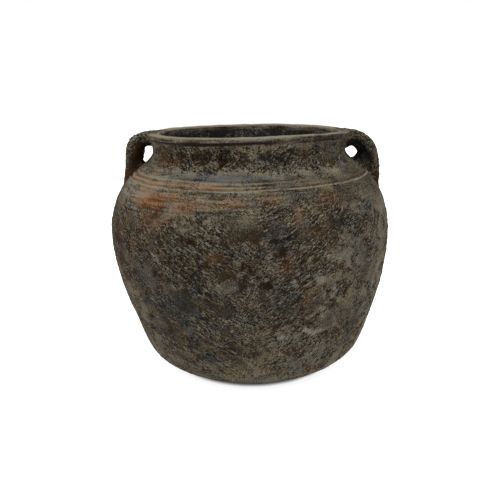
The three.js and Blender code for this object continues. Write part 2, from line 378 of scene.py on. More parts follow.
# Seed, half width and half height of each kind of patch on the back
BARE_BEHIND = (41, 14, 8)
SOOT_BEHIND = (42, 20, 16)
PALE_BEHIND = (43, 24, 12)

# How soft and ragged the edge of a patch or a crease is, in half widths
PATCH_REACH, PATCH_FADE = 1.25, 1.1
CREASE_RAGGED, CREASE_FADE = 1.1, 1.3

# Larger creases on the front, each from a turn and height to another, and half its width
CREASES = [
    (-7, 159, 1, 140, 4.2),
    (1, 140, 7, 126, 5.5),
    (11, 160, 12, 142, 3.2),
    (-24, 168, -12, 161, 3.0),
    (4, 165, 13, 170, 4.0),
]


def patches_behind(seed, half_width, half_height):
    """Patches of the same kind scattered over the back, where nothing shows where they lie."""
    dice = np.random.RandomState(seed)
    return [
        (
            dice.uniform(*BACK_TURNS),
            dice.uniform(*BACK_HEIGHTS),
            half_width * dice.uniform(*BACK_SIZES),
            half_height * dice.uniform(*BACK_SIZES),
            dice.uniform(*BACK_STRENGTHS),
        )
        for _ in range(BACK_PATCHES)
    ]


def cover(points, patches, ragged):
    """How far patches cover each point, from 0 to their strength, with edges broken by a noise."""
    reach = np.hypot(points[..., 0], points[..., 1])
    turn = turn_of(points)
    covered = np.zeros(points.shape[:-1])
    for middle, height, half_width, half_height, strength in patches:
        across = np.radians((turn - middle + 180) % 360 - 180) * reach / half_width
        up = (points[..., 2] - height) / half_height
        share = ease(PATCH_REACH - np.hypot(across, up) + ragged, 0, PATCH_FADE)
        covered = np.maximum(covered, strength * share)
    return covered


def creased(points, ragged):
    """How far each point lies in the larger creases, from 0 to 1."""
    reach = np.hypot(points[..., 0], points[..., 1])
    turn, height = turn_of(points), points[..., 2]
    depth = np.zeros(points.shape[:-1])
    for first_turn, first_height, last_turn, last_height, half_width in CREASES:
        across = np.radians((turn - first_turn + 180) % 360 - 180) * reach
        up = height - first_height
        run = np.radians(last_turn - first_turn) * reach
        rise = last_height - first_height
        share = np.clip((across * run + up * rise) / (run * run + rise * rise), 0, 1)
        away = np.hypot(across - share * run, up - share * rise)
        depth = np.maximum(depth, ease(1 - away / half_width + CREASE_RAGGED * ragged, 0, CREASE_FADE))
    return depth


# Cut lines: they stand apart on the left and run together on the right
LINES_HEIGHT = 212.0
LINES_DIP = 0.9
LINES_SPACING = 2.5
LINES_SPREAD = 1.5
LINES_WANDER, WANDER_LENGTH = 0.5, 45
LINES_WEAR_LENGTH = 14
LINE_HALF, LINE_WIDENING = 0.6, 0.5
LINE_DEPTH = 1.0
LINE_BURR = 0.35
BURR_PLACE, BURR_HALF = 1.5, 0.6


def cut_lines(points):
    """Relief of the two cut lines with the burrs beside them, and how far each point is cut or burr."""
    turn = np.radians(turn_of(points))
    middle = LINES_HEIGHT - LINES_DIP * np.cos(turn) + LINES_WANDER * grain(points, WANDER_LENGTH, 21)
    spacing = LINES_SPACING - LINES_SPREAD * np.sin(turn + 0.15)
    right = ease(np.sin(turn), -0.2, 0.7)
    worn = (0.25 + 0.4 * right) * grain(points, LINES_WEAR_LENGTH, 22, 3)
    half = LINE_HALF + LINE_WIDENING * (1 - right)
    relief, cut, burr = 0.0, 0.0, 0.0
    for side in (-0.5, 0.5):
        off = points[..., 2] - middle - side * spacing
        strength = np.clip(0.85 - (0.3 + side * 0.8) * right + worn, 0.12, 1.2)
        groove = np.exp(-((off / half) ** 2)) * strength
        place = BURR_PLACE * np.where(off < 0, -1, 1)
        pushed = np.exp(-(((off - place) / BURR_HALF) ** 2)) * np.clip(strength + worn, 0, 1.2)
        pushed = pushed * np.where(off < 0, 1, 1 - 0.8 * right)
        relief = relief - LINE_DEPTH * groove + LINE_BURR * pushed
        cut = np.maximum(cut, groove)
        burr = np.maximum(burr, pushed)
    return relief, cut, burr * (1 - cut)


# Degrees that strokes slant round the pot per millimetre of height
STROKE_SLANT = 0.55

# Sizes of the clay's texture, how high its lumps are, and how many times longer than wide its strokes are
SWELL_SIZE, SWELL = 75, 0.6
LUMP_SIZE, LUMP = 26, 0.35
DRIFT_SIZE, DRIFT = 9, 3.2
BREAK_SIZE = 15
WRINKLE_SIZE, WRINKLE_LENGTH = 3.0, 2.2
CRUMB_SIZE = 4.2
FLAKE_SIZE = 9
CRACK_SIZE, CRACK_SPREAD = 20, 30
THROWN_SIZE, THROWN_LENGTH = 1.8, 16
WIPED_SIZE, WIPED_LENGTH = 2.2, 7
EDGE_SIZE, SOFT_EDGE_SIZE, CRUST_EDGE_SIZE = 12, 14, 30
STREAK_SIZE, STREAK_LENGTH = 2.4, 14
CLOUD_SIZE, SPOT_SIZE = 40, 13
CRUST_LIMIT = 1.7


def strokes(points, size, seed, length):
    """Noise in short slanting strokes, which fall towards the middle of the front from both sides."""
    right = ease(np.sin(np.radians(turn_of(points))), -0.3, 0.3)
    falling = grain(twisted(points, STROKE_SLANT), size, seed, 2, (1, 1, length))
    rising = grain(twisted(points, -STROKE_SLANT), size, seed + 0.5, 2, (1, 1, length))
    return between(falling, rising, right)


def clay_finish(points, zones):
    """Relief in millimetres and the marks that colour the clay.

    Zones give how far each point is wrinkled crust, thrown lines or wiped strokes, how far the crust is
    broken away in places, and how flaky it is.
    """
    streaks = 0.4 * grain(points, STREAK_SIZE, 2, 3, (STREAK_LENGTH, STREAK_LENGTH, 1))
    soft_edge = 0.5 * grain(points, SOFT_EDGE_SIZE, 16, 3) + streaks
    ragged = between(grain(points, EDGE_SIZE, 1, 4), soft_edge, zones["thrown"])
    drifted = points + DRIFT * np.stack([grain(points, DRIFT_SIZE, seed, 2) for seed in (3, 4, 5)], -1)
    lumps = SWELL * grain(points, SWELL_SIZE, 6) + LUMP * grain(points, LUMP_SIZE, 7)
    left_standing = 1.05 * ease(grain(drifted, BREAK_SIZE, 8, 3), -0.3, 0.3) - 0.5
    crust = np.clip(zones["crust"] + zones["broken"] * left_standing, 0, CRUST_LIMIT)
    wrinkles = strokes(drifted, WRINKLE_SIZE, 9, WRINKLE_LENGTH)
    crumbs = grain(drifted, CRUMB_SIZE, 10, 3)
    flakes = ease(grain(drifted, FLAKE_SIZE, 11, 3), -0.1, 0.2) - 0.5
    cracks = hump(grain(drifted, CRACK_SIZE, 17, 2), 0, 0.1) * ease(grain(points, CRACK_SPREAD, 18), 0, 0.35)
    thrown = grain(points, THROWN_SIZE, 12, 2, (THROWN_LENGTH, THROWN_LENGTH, 1)) * zones["thrown"]
    wiped = strokes(points, WIPED_SIZE, 13, WIPED_LENGTH) * zones["wiped"]
    fine = crust * (wrinkles + 0.6 * crumbs + zones["flaky"] * flakes)
    fine = fine - 0.9 * cracks * zones["crust"] + 0.12 * thrown + 0.2 * wiped
    clouds = 0.13 * grain(points, CLOUD_SIZE, 14, 3) + 0.08 * grain(points, SPOT_SIZE, 15, 2)
    return {
        "relief": lumps + fine,
        "fine": fine,
        "crust": crust,
        "wash": 0.33 - 0.24 * crust + clouds,
        "thrown": zones["thrown"],
        "ragged": ragged,
    }


# Places on the wall, as heights in millimetres or turns in degrees: a band has its middle and half width, and
# a start, end or edge has where the change begins and where it is complete
BACK_TURN_BAND, BACK_BAND = (180, 110), (135, 95)
FOOT_EDGE = (25, 80)
WIPED_END = (150, 185)
THROWN_START, THROWN_END = (178, 192), (219, 226)
THROWN_FRONT = (-35, 75)
BRUSHED_START, BRUSHED_END = (184, 198), (218, 225)
NECK_BAND, NECK_FRONT = (234, 14), (-15, 65)
SMOOTH_RIM_START = (242.5, 246)
UNDER_LIP_BAND, UNDER_LIP_FRONT = (246.4, 1.9), (-20, 38)
CREST_START = (250.2, 251.6)
WAIST_BAND = (56, 42)
LEFT_EDGE_BAND = (-75, 50)
SHOULDER_BAND, SHOULDER_LEFT = (207, 26), (-55, 60)
NECK_FOOT_BAND, NECK_TOP_BAND = (221, 8), (244, 6)
FOOT_END = (10, 60)
BELLY_BAND = (130, 90)
RIGHT_BAND, RIGHT_END = (64, 50), (165, 200)
LOWER_BAND, LOWER_LEFT = (90, 50), (-60, 40)

# Depths of what the wall has besides its texture
CREASE_DEPTH = 1.5
WAIST_DEPTH = 1.1
UNDERCUT_DEPTH = 1.0
CREST_WAVE, CREST_WAVE_LENGTH = 0.45, 14


def wall_zones(points):
    """How the outside of the body was worked, by place."""
    height, turn = points[..., 2], turn_of(points)
    front = cover(points, CRUST_PATCHES, 0.5 * grain(points, CRUST_EDGE_SIZE, 31, 2))
    behind = hump((turn + 360) % 360, *BACK_TURN_BAND) * hump(height, *BACK_BAND)
    neck = hump(height, *NECK_BAND)
    smooth_rim = ease(height, *SMOOTH_RIM_START)
    brushed = ease(height, *BRUSHED_START) * (1 - ease(height, *BRUSHED_END))
    thrown = ease(height, *THROWN_START) * (1 - 0.6 * ease(height, *THROWN_END))
    thrown = thrown * (0.35 + 0.65 * hump(turn, *THROWN_FRONT))
    crust = np.clip(0.2 + 0.85 * front + 0.7 * behind, 0, 1.6)
    above_foot = 0.4 + 0.6 * ease(height, *FOOT_EDGE)
    return {
        "crust": crust * (1 - 0.85 * brushed) * (1 - 0.85 * smooth_rim),
        "broken": (1 - smooth_rim) * (1 - 0.75 * brushed) * (1 - 0.5 * neck) * above_foot,
        "flaky": 0.4 + 1.7 * neck * hump(turn, *NECK_FRONT),
        "thrown": between(thrown, 1.0, smooth_rim),
        "wiped": (1 - ease(height, *WIPED_END)) * (1 - 0.6 * front),
    }


def wall_finish(points):
    """The finish of the body's outside: relief, and the marks that colour it."""
    marks = clay_finish(points, wall_zones(points))
    height, turn = points[..., 2], turn_of(points)
    ragged = marks["ragged"]
    lines, cut, burr = cut_lines(points)
    left = ease(-np.sin(np.radians(turn)), -0.1, 0.35)
    # A band under the lip: a shallow groove in the relief, and painted shade that darkens the clay there
    under_lip = hump(height, *UNDER_LIP_BAND) * (0.2 + 0.8 * hump(turn, *UNDER_LIP_FRONT))
    # The rim's crest: a wave in its height, and clay made paler there, partly by the wash and partly as a
    # painted highlight
    crest = ease(height, *CREST_START) * (0.45 + 0.55 * np.abs(np.cos(np.radians(turn))))
    deep = creased(points, ragged)
    marks["crust"] = marks["crust"] * (1 - 0.35 * deep)
    marks["relief"] = (
        marks["relief"]
        + lines
        - CREASE_DEPTH * deep
        - WAIST_DEPTH * hump(height, *WAIST_BAND)
        - UNDERCUT_DEPTH * under_lip
        + CREST_WAVE * crest * grain(points, CREST_WAVE_LENGTH, 32, 2)
    )
    bare = cover(points, BARE_PATCHES + patches_behind(*BARE_BEHIND), ragged)
    worn = cover(points, WORN_PATCHES, ragged)
    # The smoke-black patches alone, before the painted shade under the lip is added to them
    soot_and_shade = cover(points, SOOT_PATCHES + patches_behind(*SOOT_BEHIND), ragged)
    pale = cover(points, PALE_PATCHES + patches_behind(*PALE_BEHIND), ragged)
    rubbed = cut * (0.2 + 0.75 * left) + 0.15 * hump(turn, *LEFT_EDGE_BAND)
    marks["bare"] = np.maximum.reduce([bare, rubbed, 0.1 * worn])
    # Smoke black in patches, with painted shade under the lip laid in the same layer
    marks["soot_and_shade"] = np.maximum(soot_and_shade, np.clip(under_lip, 0, 1))
    # How far each place is made paler, and with a minus darker: thicker and thinner wash, painted light and
    # shade where marked, and bands by height and turn that are only made paler or darker
    for weight, place in (
        (0.3, pale),
        # the crest: paler wash and a painted highlight
        (0.5, crest),
        (0.4, burr),
        (-0.06, cut * (1 - left)),
        # painted shade under the lip
        (-0.75, under_lip),
        (-0.28, worn),
        (-0.4, deep),
        (0.12, hump(height, *NECK_TOP_BAND)),
        (0.05, hump(height, *NECK_FOOT_BAND)),
        (0.03, hump(height, *SHOULDER_BAND)),
        # the shoulder's left: paler wash and painted light from the upper left
        (0.17, hump(height, *SHOULDER_BAND) * hump(turn, *SHOULDER_LEFT)),
        (-0.05, hump(height, *BELLY_BAND)),
        (0.05, hump(height, *LOWER_BAND) * hump(turn, *LOWER_LEFT)),
        (0.17, (1 - ease(height, *RIGHT_END)) * hump(turn, *RIGHT_BAND)),
        # painted bounce light from the floor, on the foot
        (0.18, 1 - ease(height, *FOOT_END)),
    ):
        marks["wash"] = marks["wash"] + weight * place
    return marks


MOUTH_EDGE = (247, 251)


def inside_finish(points):
    """The finish of the inside, left rougher and never wiped, and darkened below the mouth's edge as painted
    shade: relief, and the marks that colour it.
    """
    plain = np.zeros(points.shape[:-1])
    zones = {"crust": plain + 0.7, "broken": plain + 1, "flaky": 0.4, "thrown": plain + 0.6, "wiped": plain}
    marks = clay_finish(points, zones)
    top = ease(points[..., 2], *MOUTH_EDGE)
    # Painted shade: the inside is darker below the edge of the mouth, in the wash and in the layer of smoke
    # black and shade
    marks["wash"] = marks["wash"] - 0.3 + 0.65 * top
    marks["bare"] = plain
    marks["soot_and_shade"] = 0.7 * (1 - top)
    return marks


MARKS = ("fine", "crust", "wash", "thrown", "bare", "soot_and_shade")

# The pot was made by hand: its middle wanders sideways on the way up, and its rim dips
LEAN_HEIGHTS = (0, 60, 147, 215, 252)
LEAN_SHIFTS = (0.8, 0.9, -1.0, -0.6, 0.0)
LEAN = np.polynomial.Polynomial.fit(LEAN_HEIGHTS, LEAN_SHIFTS, 4)
DIP_START = 195.0
TWO_DIPS, THREE_DIPS, DIPS_TURN = 0.6, 0.35, 0.6
STANDING_EDGE = (0.2, 6.0)


def settled(points):
    """The points moved as the soft clay settled, on every piece alike."""
    moved = points.copy()
    height = points[..., 2]
    moved[..., 0] += LEAN(np.clip(height, 0, RIM_HEIGHT))
    turn = np.radians(turn_of(points))
    dips = TWO_DIPS * np.sin(2 * turn + DIPS_TURN) + THREE_DIPS * np.sin(3 * turn)
    moved[..., 2] += ease(height, DIP_START, RIM_HEIGHT) * dips
    return moved


# Meshes


def clay_piece(name, points, faces, normals, marks):
    """A mesh of one piece of clay, with its marks, in metres."""
    mesh = bpy.data.meshes.new(name)
    mesh.from_pydata((points * MM).tolist(), [], faces, shade_flat=False)
    for mark in MARKS:
        layer = mesh.attributes.new(mark, "FLOAT", "POINT")
        layer.data.foreach_set("value", np.ascontiguousarray(marks[mark], np.float32))
    mesh.normals_split_custom_set_from_vertices(normals.tolist())
    mesh.update()
    piece = bpy.data.objects.new(name, mesh)
    bpy.context.scene.collection.objects.link(piece)
    return piece


def loop_faces(rows):
    """Four-sided faces over a closed loop of rows turned round the pot."""
    index = np.arange(rows * COLUMNS).reshape(rows, COLUMNS)
    right, up = np.roll(index, -1, 1), np.roll(index, -1, 0)
    return np.stack([index, right, np.roll(up, -1, 1), up], -1).reshape(-1, 4).tolist()


def skin_normals(points):
    """The way out of the clay at each point of a turned skin."""
    along = np.roll(points, -1, 0) - np.roll(points, 1, 0)
    around = np.roll(points, -1, 1) - np.roll(points, 1, 1)
    normals = np.cross(around, along)
    return normals / np.linalg.norm(normals, axis=-1)[..., None]


def made_section(section, outside_rows):
    """A closed section turned, worked and settled: its points, normals and marks by row."""
    ways = np.roll(section, -1, 0) - np.roll(section, 1, 0)
    ways /= np.linalg.norm(ways, axis=1)[:, None]
    base = turned(section)
    outward = turned(np.stack([ways[:, 1], -ways[:, 0]], 1))
    outside = wall_finish(base[:outside_rows])
    inside = inside_finish(base[outside_rows:])
    marks = {key: np.concatenate([outside[key], inside[key]]) for key in (*MARKS, "relief")}
    standing = ease(section[:, 1], *STANDING_EDGE)[:, None]
    worked = settled(base + outward * (marks["relief"] * standing)[..., None])
    return worked, skin_normals(worked), marks


def ridge_row(height):
    """The crest of a joint's ridge, in the middle of the wall."""
    crest = into_clay(height, WALL / 2) + outline_at(height)[1] * RIDGE
    return settled(turned(crest))


def build_body():
    """The floor dish, the wall rings, the neck collar and the rim coil, as closed pieces of one skin."""
    section, row_at = body_section()
    mouth_row = row_at["in", RIM_JOINT]
    points, normals, marks = made_section(section, mouth_row)
    total = len(section)

    def parted(name, stretches):
        """A closed piece from stretches of rows, with a joint's ridge between them where one is given."""
        rows, facing, marked = [], [], {mark: [] for mark in MARKS}
        for stretch in stretches:
            if isinstance(stretch, float):
                rows.append(ridge_row(stretch))
                facing.append(np.tile((0.0, 0.0, 1.0), (1, COLUMNS, 1)))
                for mark in MARKS:
                    marked[mark].append(np.zeros((1, COLUMNS)))
                continue
            rows.append(points[stretch])
            facing.append(normals[stretch])
            for mark in MARKS:
                marked[mark].append(marks[mark][stretch])
        rows = np.concatenate(rows)
        return clay_piece(
            name,
            rows.reshape(-1, 3),
            loop_faces(len(rows)),
            np.concatenate(facing).reshape(-1, 3),
            {mark: np.concatenate(values).ravel() for mark, values in marked.items()},
        )

    def outer(low, high):
        return slice(row_at["out", low], row_at["out", high] + 1)

    def inner(high, low):
        return slice(row_at["in", high], row_at["in", low] + 1)

    pieces = {}
    dish_rows = np.r_[row_at["in", FLOOR_JOINT]:total, 0:row_at["out", FLOOR_JOINT] + 1]
    pieces["floor_dish"] = parted("floor_dish_clay", [dish_rows, float(FLOOR_JOINT)])
    for name, low, high in zip((*RINGS, "neck_collar"), JOINTS, JOINTS[1:]):
        stretches = [outer(low, high), float(high), inner(high, low), float(low)]
        pieces[name] = parted(name + "_clay", stretches)
    rim_rows = slice(row_at["out", RIM_JOINT], row_at["in", RIM_JOINT] + 1)
    pieces["rim_coil"] = parted("rim_coil_clay", [rim_rows, float(RIM_JOINT)])
    return pieces


def build_heel_coil():
    """The coil worked over the floor seam inside, a crescent with feathered edges."""
    heights = np.linspace(FLOOR_JOINT - COIL_REACH, FLOOR_JOINT + COIL_REACH, COIL_POINTS)
    seat = into_clay(heights, WALL + COIL_FILM)
    ways = ways_along(seat)
    bulge = COIL_THICKNESS * np.sin(np.linspace(0, np.pi, len(seat)))[:, None]
    crown = seat + np.stack([-ways[:, 1], ways[:, 0]], 1) * bulge
    section = np.vstack([seat, crown[-2:0:-1]])
    points = settled(turned(section))
    marks = inside_finish(points)
    lifted = np.r_[np.zeros(len(seat)), bulge[-2:0:-1, 0] / COIL_THICKNESS][:, None, None]
    points = points + skin_normals(points) * lifted * marks["relief"][..., None]
    return clay_piece(
        "heel_coil_clay",
        points.reshape(-1, 3),
        loop_faces(len(section)),
        skin_normals(points).reshape(-1, 3),
        {mark: marks[mark].ravel() for mark in MARKS},
    )


# Handles: a strap from the rim to the shoulder, thick in the middle and thinner at its edges
STRAP_HALF_WIDTH = 21.0
STRAP_OUTER, STRAP_OUTER_EDGE = 7.2, 6.2
STRAP_INNER, STRAP_INNER_EDGE = 8.6, -0.5
STRAP_ROUNDING = 3.5
STRAP_START = 97.0
STRAP_POINTS = 18
BEND_HEIGHT, BEND_REACH = 236.0, 16.0
BEND_START = (108.0, 118.0)
FILLET_SPAN = (222.0, 230.0)
SKIRT_DEPTH = 1.5
SKIRT_THICKNESS = 1.6
SKIRT_REACH = 9.0
FOOT_EDGE_FILLET = 13.0
UNDER_DEPTH = (2.0, 8.0)
UNDER_SPAN = (STRAP_HALF_WIDTH - 3, STRAP_HALF_WIDTH + 1)
UNDER_TOP = (218.0, 226.0)
UNDER_REACH = 14.0
CUT_MARGIN = 1.4
OUTER_MARGIN = 8.0
OUTER_TRIM = 0.3
BODY_LOW, OUTLINE_STRIDE, RIM_STRIDE = 165.0, 10, 15
NET_CELL = 0.95
FAR_OUTSIDE = 50.0
NET_LOW, NET_HIGH = point3(90, -34, 174), point3(148, 34, 258)
# The right strap gets more painted shade underneath than the left
HANDLES = {
    "left": {
        "turn": math.pi, "top": 245.8, "run": 129, "bow": (120, 243), "foot": 197.5,
        "bend_fill": 4.5, "foot_fillet": 10.0, "top_fillet": 6.0, "soot_and_shade_layer": 0.45, "rusted": 0.6,
        "dulled": 0.12,
    },
    "right": {
        "turn": 0.0, "top": 245.3, "run": 122.5, "bow": (134.5, 239.5), "foot": 191.5,
        "bend_fill": 3.5, "foot_fillet": 26.0, "top_fillet": 18.0, "soot_and_shade_layer": 1.0, "rusted": 0.2,
        "dulled": 0.1,
    },
}
LUTING_SPLIT = 226.0
CRUMB_POINTS = 60

# How net points are seated: the step to feel the slope with, the rounds, the longest move and least slope
NUDGE = 0.06
SEATING_ROUNDS = 3
LONGEST_MOVE = 0.4
LEAST_SLOPE = 0.3

# Places on a handle, as heights, or as distances from the body, the strap's middle line or the pot's axis:
# a band has its middle and half width, and the others have where they begin and where they are complete
RELIEF_START = (-0.2, 1.5)
UNDERSIDE_START, UNDERSIDE_CLEAR = (0.5, 5), (1, 8)
NEAR_RIM_START, NEAR_RIM_END = (240, 248), (108, 124)
FOOT_BAND, FOOT_CLEAR = (206, 14), (0.5, 4)
SEAM_BAND, SEAM_END = (3.5, 3.5), (236, 244)
EDGE_START, EDGE_FACE, EDGE_CLEAR = (16, 20), (0, 5), (4, 9)
RUST_SIZE = 16


def round_max(a, b, radius):
    """The larger of two fields, rounded where they meet."""
    near = np.clip(radius - np.abs(a - b), 0, None) / radius
    return np.maximum(a, b) + near * near * radius / 4


def beside(line, places):
    """Distance of places to a line in their plane, positive on its left side."""
    best = np.full(len(places), np.inf)
    side = np.zeros(len(places))
    for start, step in zip(line[:-1], np.diff(line, axis=0)):
        share = np.clip((places - start) @ step / (step @ step), 0, 1)
        off = places - start - share[:, None] * step
        distance = np.hypot(off[:, 0], off[:, 1])
        nearer = distance < best
        best = np.where(nearer, distance, best)
        side = np.where(nearer, step[0] * off[:, 1] - step[1] * off[:, 0], side)
    return np.where(side < 0, -best, best)


def strap_line(shape):
    """The middle line of a strap, from inside the rim to its foot in the wall."""
    start = point(STRAP_START - 1, shape["top"])
    foot = into_clay(shape["foot"], WALL)[0]
    controls = [start, point(shape["run"], shape["top"]), point(*shape["bow"]), foot]
    return np.vstack([bend(controls, STRAP_POINTS), foot[None]])


def body_depth(points):
    """Distance to the body's outer face and rim, positive outside the clay."""
    upper = OUTLINE[OUTLINE[:, 1] > BODY_LOW][:-1:OUTLINE_STRIDE]
    rim = rim_over()[::RIM_STRIDE]
    places = np.stack([np.hypot(points[:, 0], points[:, 1]), points[:, 2]], 1)
    return -beside(np.vstack([upper, rim, rim_over()[-1:]]), places)


def strap_fields(points, line, shape):
    """Fields of a handle: the strap itself, its outer face, and the space that parts it from its lutings."""
    through = beside(line, points[:, [0, 2]])
    across = np.abs(points[:, 1])
    edge = np.clip(across / STRAP_HALF_WIDTH, 0, 1) ** 2
    outer = through - between(STRAP_OUTER, STRAP_OUTER_EDGE, edge)
    bent = hump(points[:, 2], BEND_HEIGHT, BEND_REACH) * ease(points[:, 0], *BEND_START)
    filled = shape["bend_fill"] * bent
    inner = -through - between(STRAP_INNER, STRAP_INNER_EDGE, edge) - filled
    strap = round_max(np.maximum(outer, inner), across - STRAP_HALF_WIDTH, STRAP_ROUNDING)
    parting = np.maximum(outer - OUTER_MARGIN, inner - CUT_MARGIN)
    parting = round_max(parting, across - STRAP_HALF_WIDTH - CUT_MARGIN, STRAP_ROUNDING)
    return strap, outer, parting


def handle_field(points, line, shape):
    """Negative inside a handle that is blended into the body and sits a little way into it."""
    strap, outer, _ = strap_fields(points, line, shape)
    body = body_depth(points)
    below = ease(-beside(line, points[:, [0, 2]]), *UNDER_DEPTH)
    under = below * (1 - ease(np.abs(points[:, 1]), *UNDER_SPAN))
    foot_fillet = between(FOOT_EDGE_FILLET, shape["foot_fillet"], under)
    fillet = between(foot_fillet, shape["top_fillet"], ease(points[:, 2], *FILLET_SPAN))
    reach = SKIRT_REACH + UNDER_REACH * under * (1 - ease(points[:, 2], *UNDER_TOP))
    skin = body + SKIRT_DEPTH
    near = np.clip(fillet - np.abs(strap - skin), 0, None) / fillet
    worked_in = near * near * fillet / 4 * (1 - ease(strap, reach / 3, reach))
    joined = np.minimum(strap, skin) - worked_in
    underside = -(skin + SKIRT_THICKNESS)
    start = STRAP_START - np.hypot(points[:, 0], points[:, 1])
    return np.maximum.reduce([joined, outer - OUTER_TRIM, underside, strap - reach, start])


def net_over(field):
    """Points and four-sided faces of a closed net round the part of the grid where a field is negative."""
    grid = openvdb.FloatGrid(FAR_OUTSIDE)
    grid.copyFromArray(field)
    places, faces = grid.convertToQuads(0.0)
    return NET_LOW + NET_CELL * places, faces.tolist()


def seated(points, field_at):
    """Net points moved onto the surface where a field is zero, and the field's slope there."""
    for _ in range(SEATING_ROUNDS):
        rises = [field_at(points + nudge) - field_at(points - nudge) for nudge in NUDGE * np.eye(3)]
        slope = np.stack(rises, 1) / (2 * NUDGE)
        steep = np.clip(np.sum(slope * slope, 1), LEAST_SLOPE, None)
        points = points - slope * np.clip(field_at(points) / steep, -LONGEST_MOVE, LONGEST_MOVE)[:, None]
    return points, slope / np.linalg.norm(slope, axis=1)[:, None]


def handle_finish(points, line, shape):
    """The finish of a handle: relief, and the marks that colour it, with painted shade under the strap and
    where it meets the body, and a painted highlight on its edges.
    """
    height = points[:, 2]
    body = body_depth(points)
    through = beside(line, points[:, [0, 2]])
    plain = np.zeros(len(points))
    zones = {"crust": plain + 0.55, "broken": plain + 1, "flaky": 0.4, "thrown": plain, "wiped": plain + 1}
    marks = clay_finish(points, zones)
    marks["relief"] = marks["relief"] * ease(body, *RELIEF_START)
    under = ease(-through, *UNDERSIDE_START) * ease(body, *UNDERSIDE_CLEAR)
    near_rim = ease(height, *NEAR_RIM_START) * (1 - ease(points[:, 0], *NEAR_RIM_END))
    foot = hump(height, *FOOT_BAND) * ease(body, *FOOT_CLEAR)
    seam = hump(body, *SEAM_BAND) * (1 - ease(height, *SEAM_END))
    edge = ease(np.abs(points[:, 1]), *EDGE_START) * ease(through, *EDGE_FACE) * ease(body, *EDGE_CLEAR)
    rust = ease(grain(points, RUST_SIZE, 51, 2), 0.1, 0.6)
    # Painted shade under the strap, laid in the layer of smoke black and shade
    marks["soot_and_shade"] = shape["soot_and_shade_layer"] * under
    marks["bare"] = shape["rusted"] * np.maximum.reduce([under, rust, foot])
    # Paler near the rim; painted shade under the strap and in its joint with the body; a painted highlight on
    # the strap's edges
    shades = 0.25 * near_rim - 0.45 * under - 0.35 * seam + 0.2 * edge
    marks["wash"] = marks["wash"] - shape["dulled"] + shades
    return marks


def net_object(name, points, faces):
    """A helper object from a net, still in millimetres."""
    mesh = bpy.data.meshes.new(name)
    mesh.from_pydata(points.tolist(), [], faces, shade_flat=False)
    piece = bpy.data.objects.new(name, mesh)
    bpy.context.scene.collection.objects.link(piece)
    return piece


def parted_by(whole, cutter, operation):
    """What a cutter leaves of a whole, as points and faces."""
    modifier = whole.modifiers.new("part", "BOOLEAN")
    modifier.operation = operation
    modifier.solver = "MANIFOLD"
    modifier.object = cutter
    mesh = bpy.data.meshes.new_from_object(whole.evaluated_get(bpy.context.evaluated_depsgraph_get()))
    whole.modifiers.remove(modifier)
    points = np.empty(len(mesh.vertices) * 3)
    mesh.vertices.foreach_get("co", points)
    faces = [list(polygon.vertices) for polygon in mesh.polygons]
    bpy.data.meshes.remove(mesh)
    return points.reshape(-1, 3), faces


def islands(count, faces):
    """A number for each point, the same for all points that faces join."""
    pairs = np.array([pair for face in faces for pair in zip(face, face[1:])])
    label = np.arange(count)
    while True:
        lowest = np.minimum(label[pairs[:, 0]], label[pairs[:, 1]])
        before = label.copy()
        np.minimum.at(label, pairs[:, 0], lowest)
        np.minimum.at(label, pairs[:, 1], lowest)
        label = label[label]
        if np.array_equal(label, before):
            return label


def kept_part(points, faces, keep):
    """The points that are kept, and the faces between them."""
    old = np.flatnonzero(keep)
    new = np.full(len(points), -1)
    new[old] = np.arange(len(old))
    return points[old], [[int(new[corner]) for corner in face] for face in faces if keep[face[0]]]


def build_handle(side, shape):
    """A strap and the soft clay at its top and foot, parted from one blended form."""
    line = strap_line(shape)
    counts = np.ceil((NET_HIGH - NET_LOW) / NET_CELL).astype(int)
    grid = np.stack(np.meshgrid(*(np.arange(n) for n in counts), indexing="ij"), -1) * NET_CELL + NET_LOW
    flat = grid.reshape(-1, 3)
    points, faces = net_over(handle_field(flat, line, shape).reshape(counts))
    label = islands(len(points), faces)
    points, faces = kept_part(points, faces, label == np.bincount(label).argmax())
    points, slopes = seated(points, lambda places: handle_field(places, line, shape))
    marks = handle_finish(points, line, shape)
    worked = points + slopes * marks["relief"][:, None]
    whole = net_object(side + "_handle_whole", worked, faces)
    net_normals = np.empty(len(points) * 3)
    whole.data.vertices.foreach_get("normal", net_normals)
    net_normals = net_normals.reshape(-1, 3)
    parting = strap_fields(flat, line, shape)[2].reshape(counts)
    cutter = net_object(side + "_handle_parting", *net_over(parting))
    tree = kdtree.KDTree(len(worked))
    for index, place in enumerate(worked.tolist()):
        tree.insert(place, index)
    tree.balance()
    turn = np.array(Matrix.Rotation(shape["turn"], 3, "Z"))
    made = {}

    def finished(name, part_points, part_faces):
        """Makes one part of the handle, with the finish of the nearest points of the whole."""
        nearest = np.array([tree.find(place)[1] for place in part_points.tolist()])
        placed = settled(part_points @ turn.T)
        part_marks = {mark: marks[mark][nearest] for mark in MARKS}
        facing = net_normals[nearest] @ turn.T
        made[name] = clay_piece(name + "_clay", placed, part_faces, facing, part_marks)

    finished(side + "_handle_strap", *parted_by(whole, cutter, "INTERSECT"))
    soft_points, soft_faces = parted_by(whole, cutter, "DIFFERENCE")
    label = islands(len(soft_points), soft_faces)
    sizes = np.bincount(label, minlength=len(label))[label]
    middles = np.bincount(label, soft_points[:, 2], len(label))[label] / sizes
    for end, chosen in (("top", middles > LUTING_SPLIT), ("foot", middles <= LUTING_SPLIT)):
        luting = kept_part(soft_points, soft_faces, chosen & (sizes > CRUMB_POINTS))
        finished(f"{side}_handle_{end}_luting", *luting)
    for helper in (whole, cutter):
        bpy.data.objects.remove(helper)
    return made


# Materials


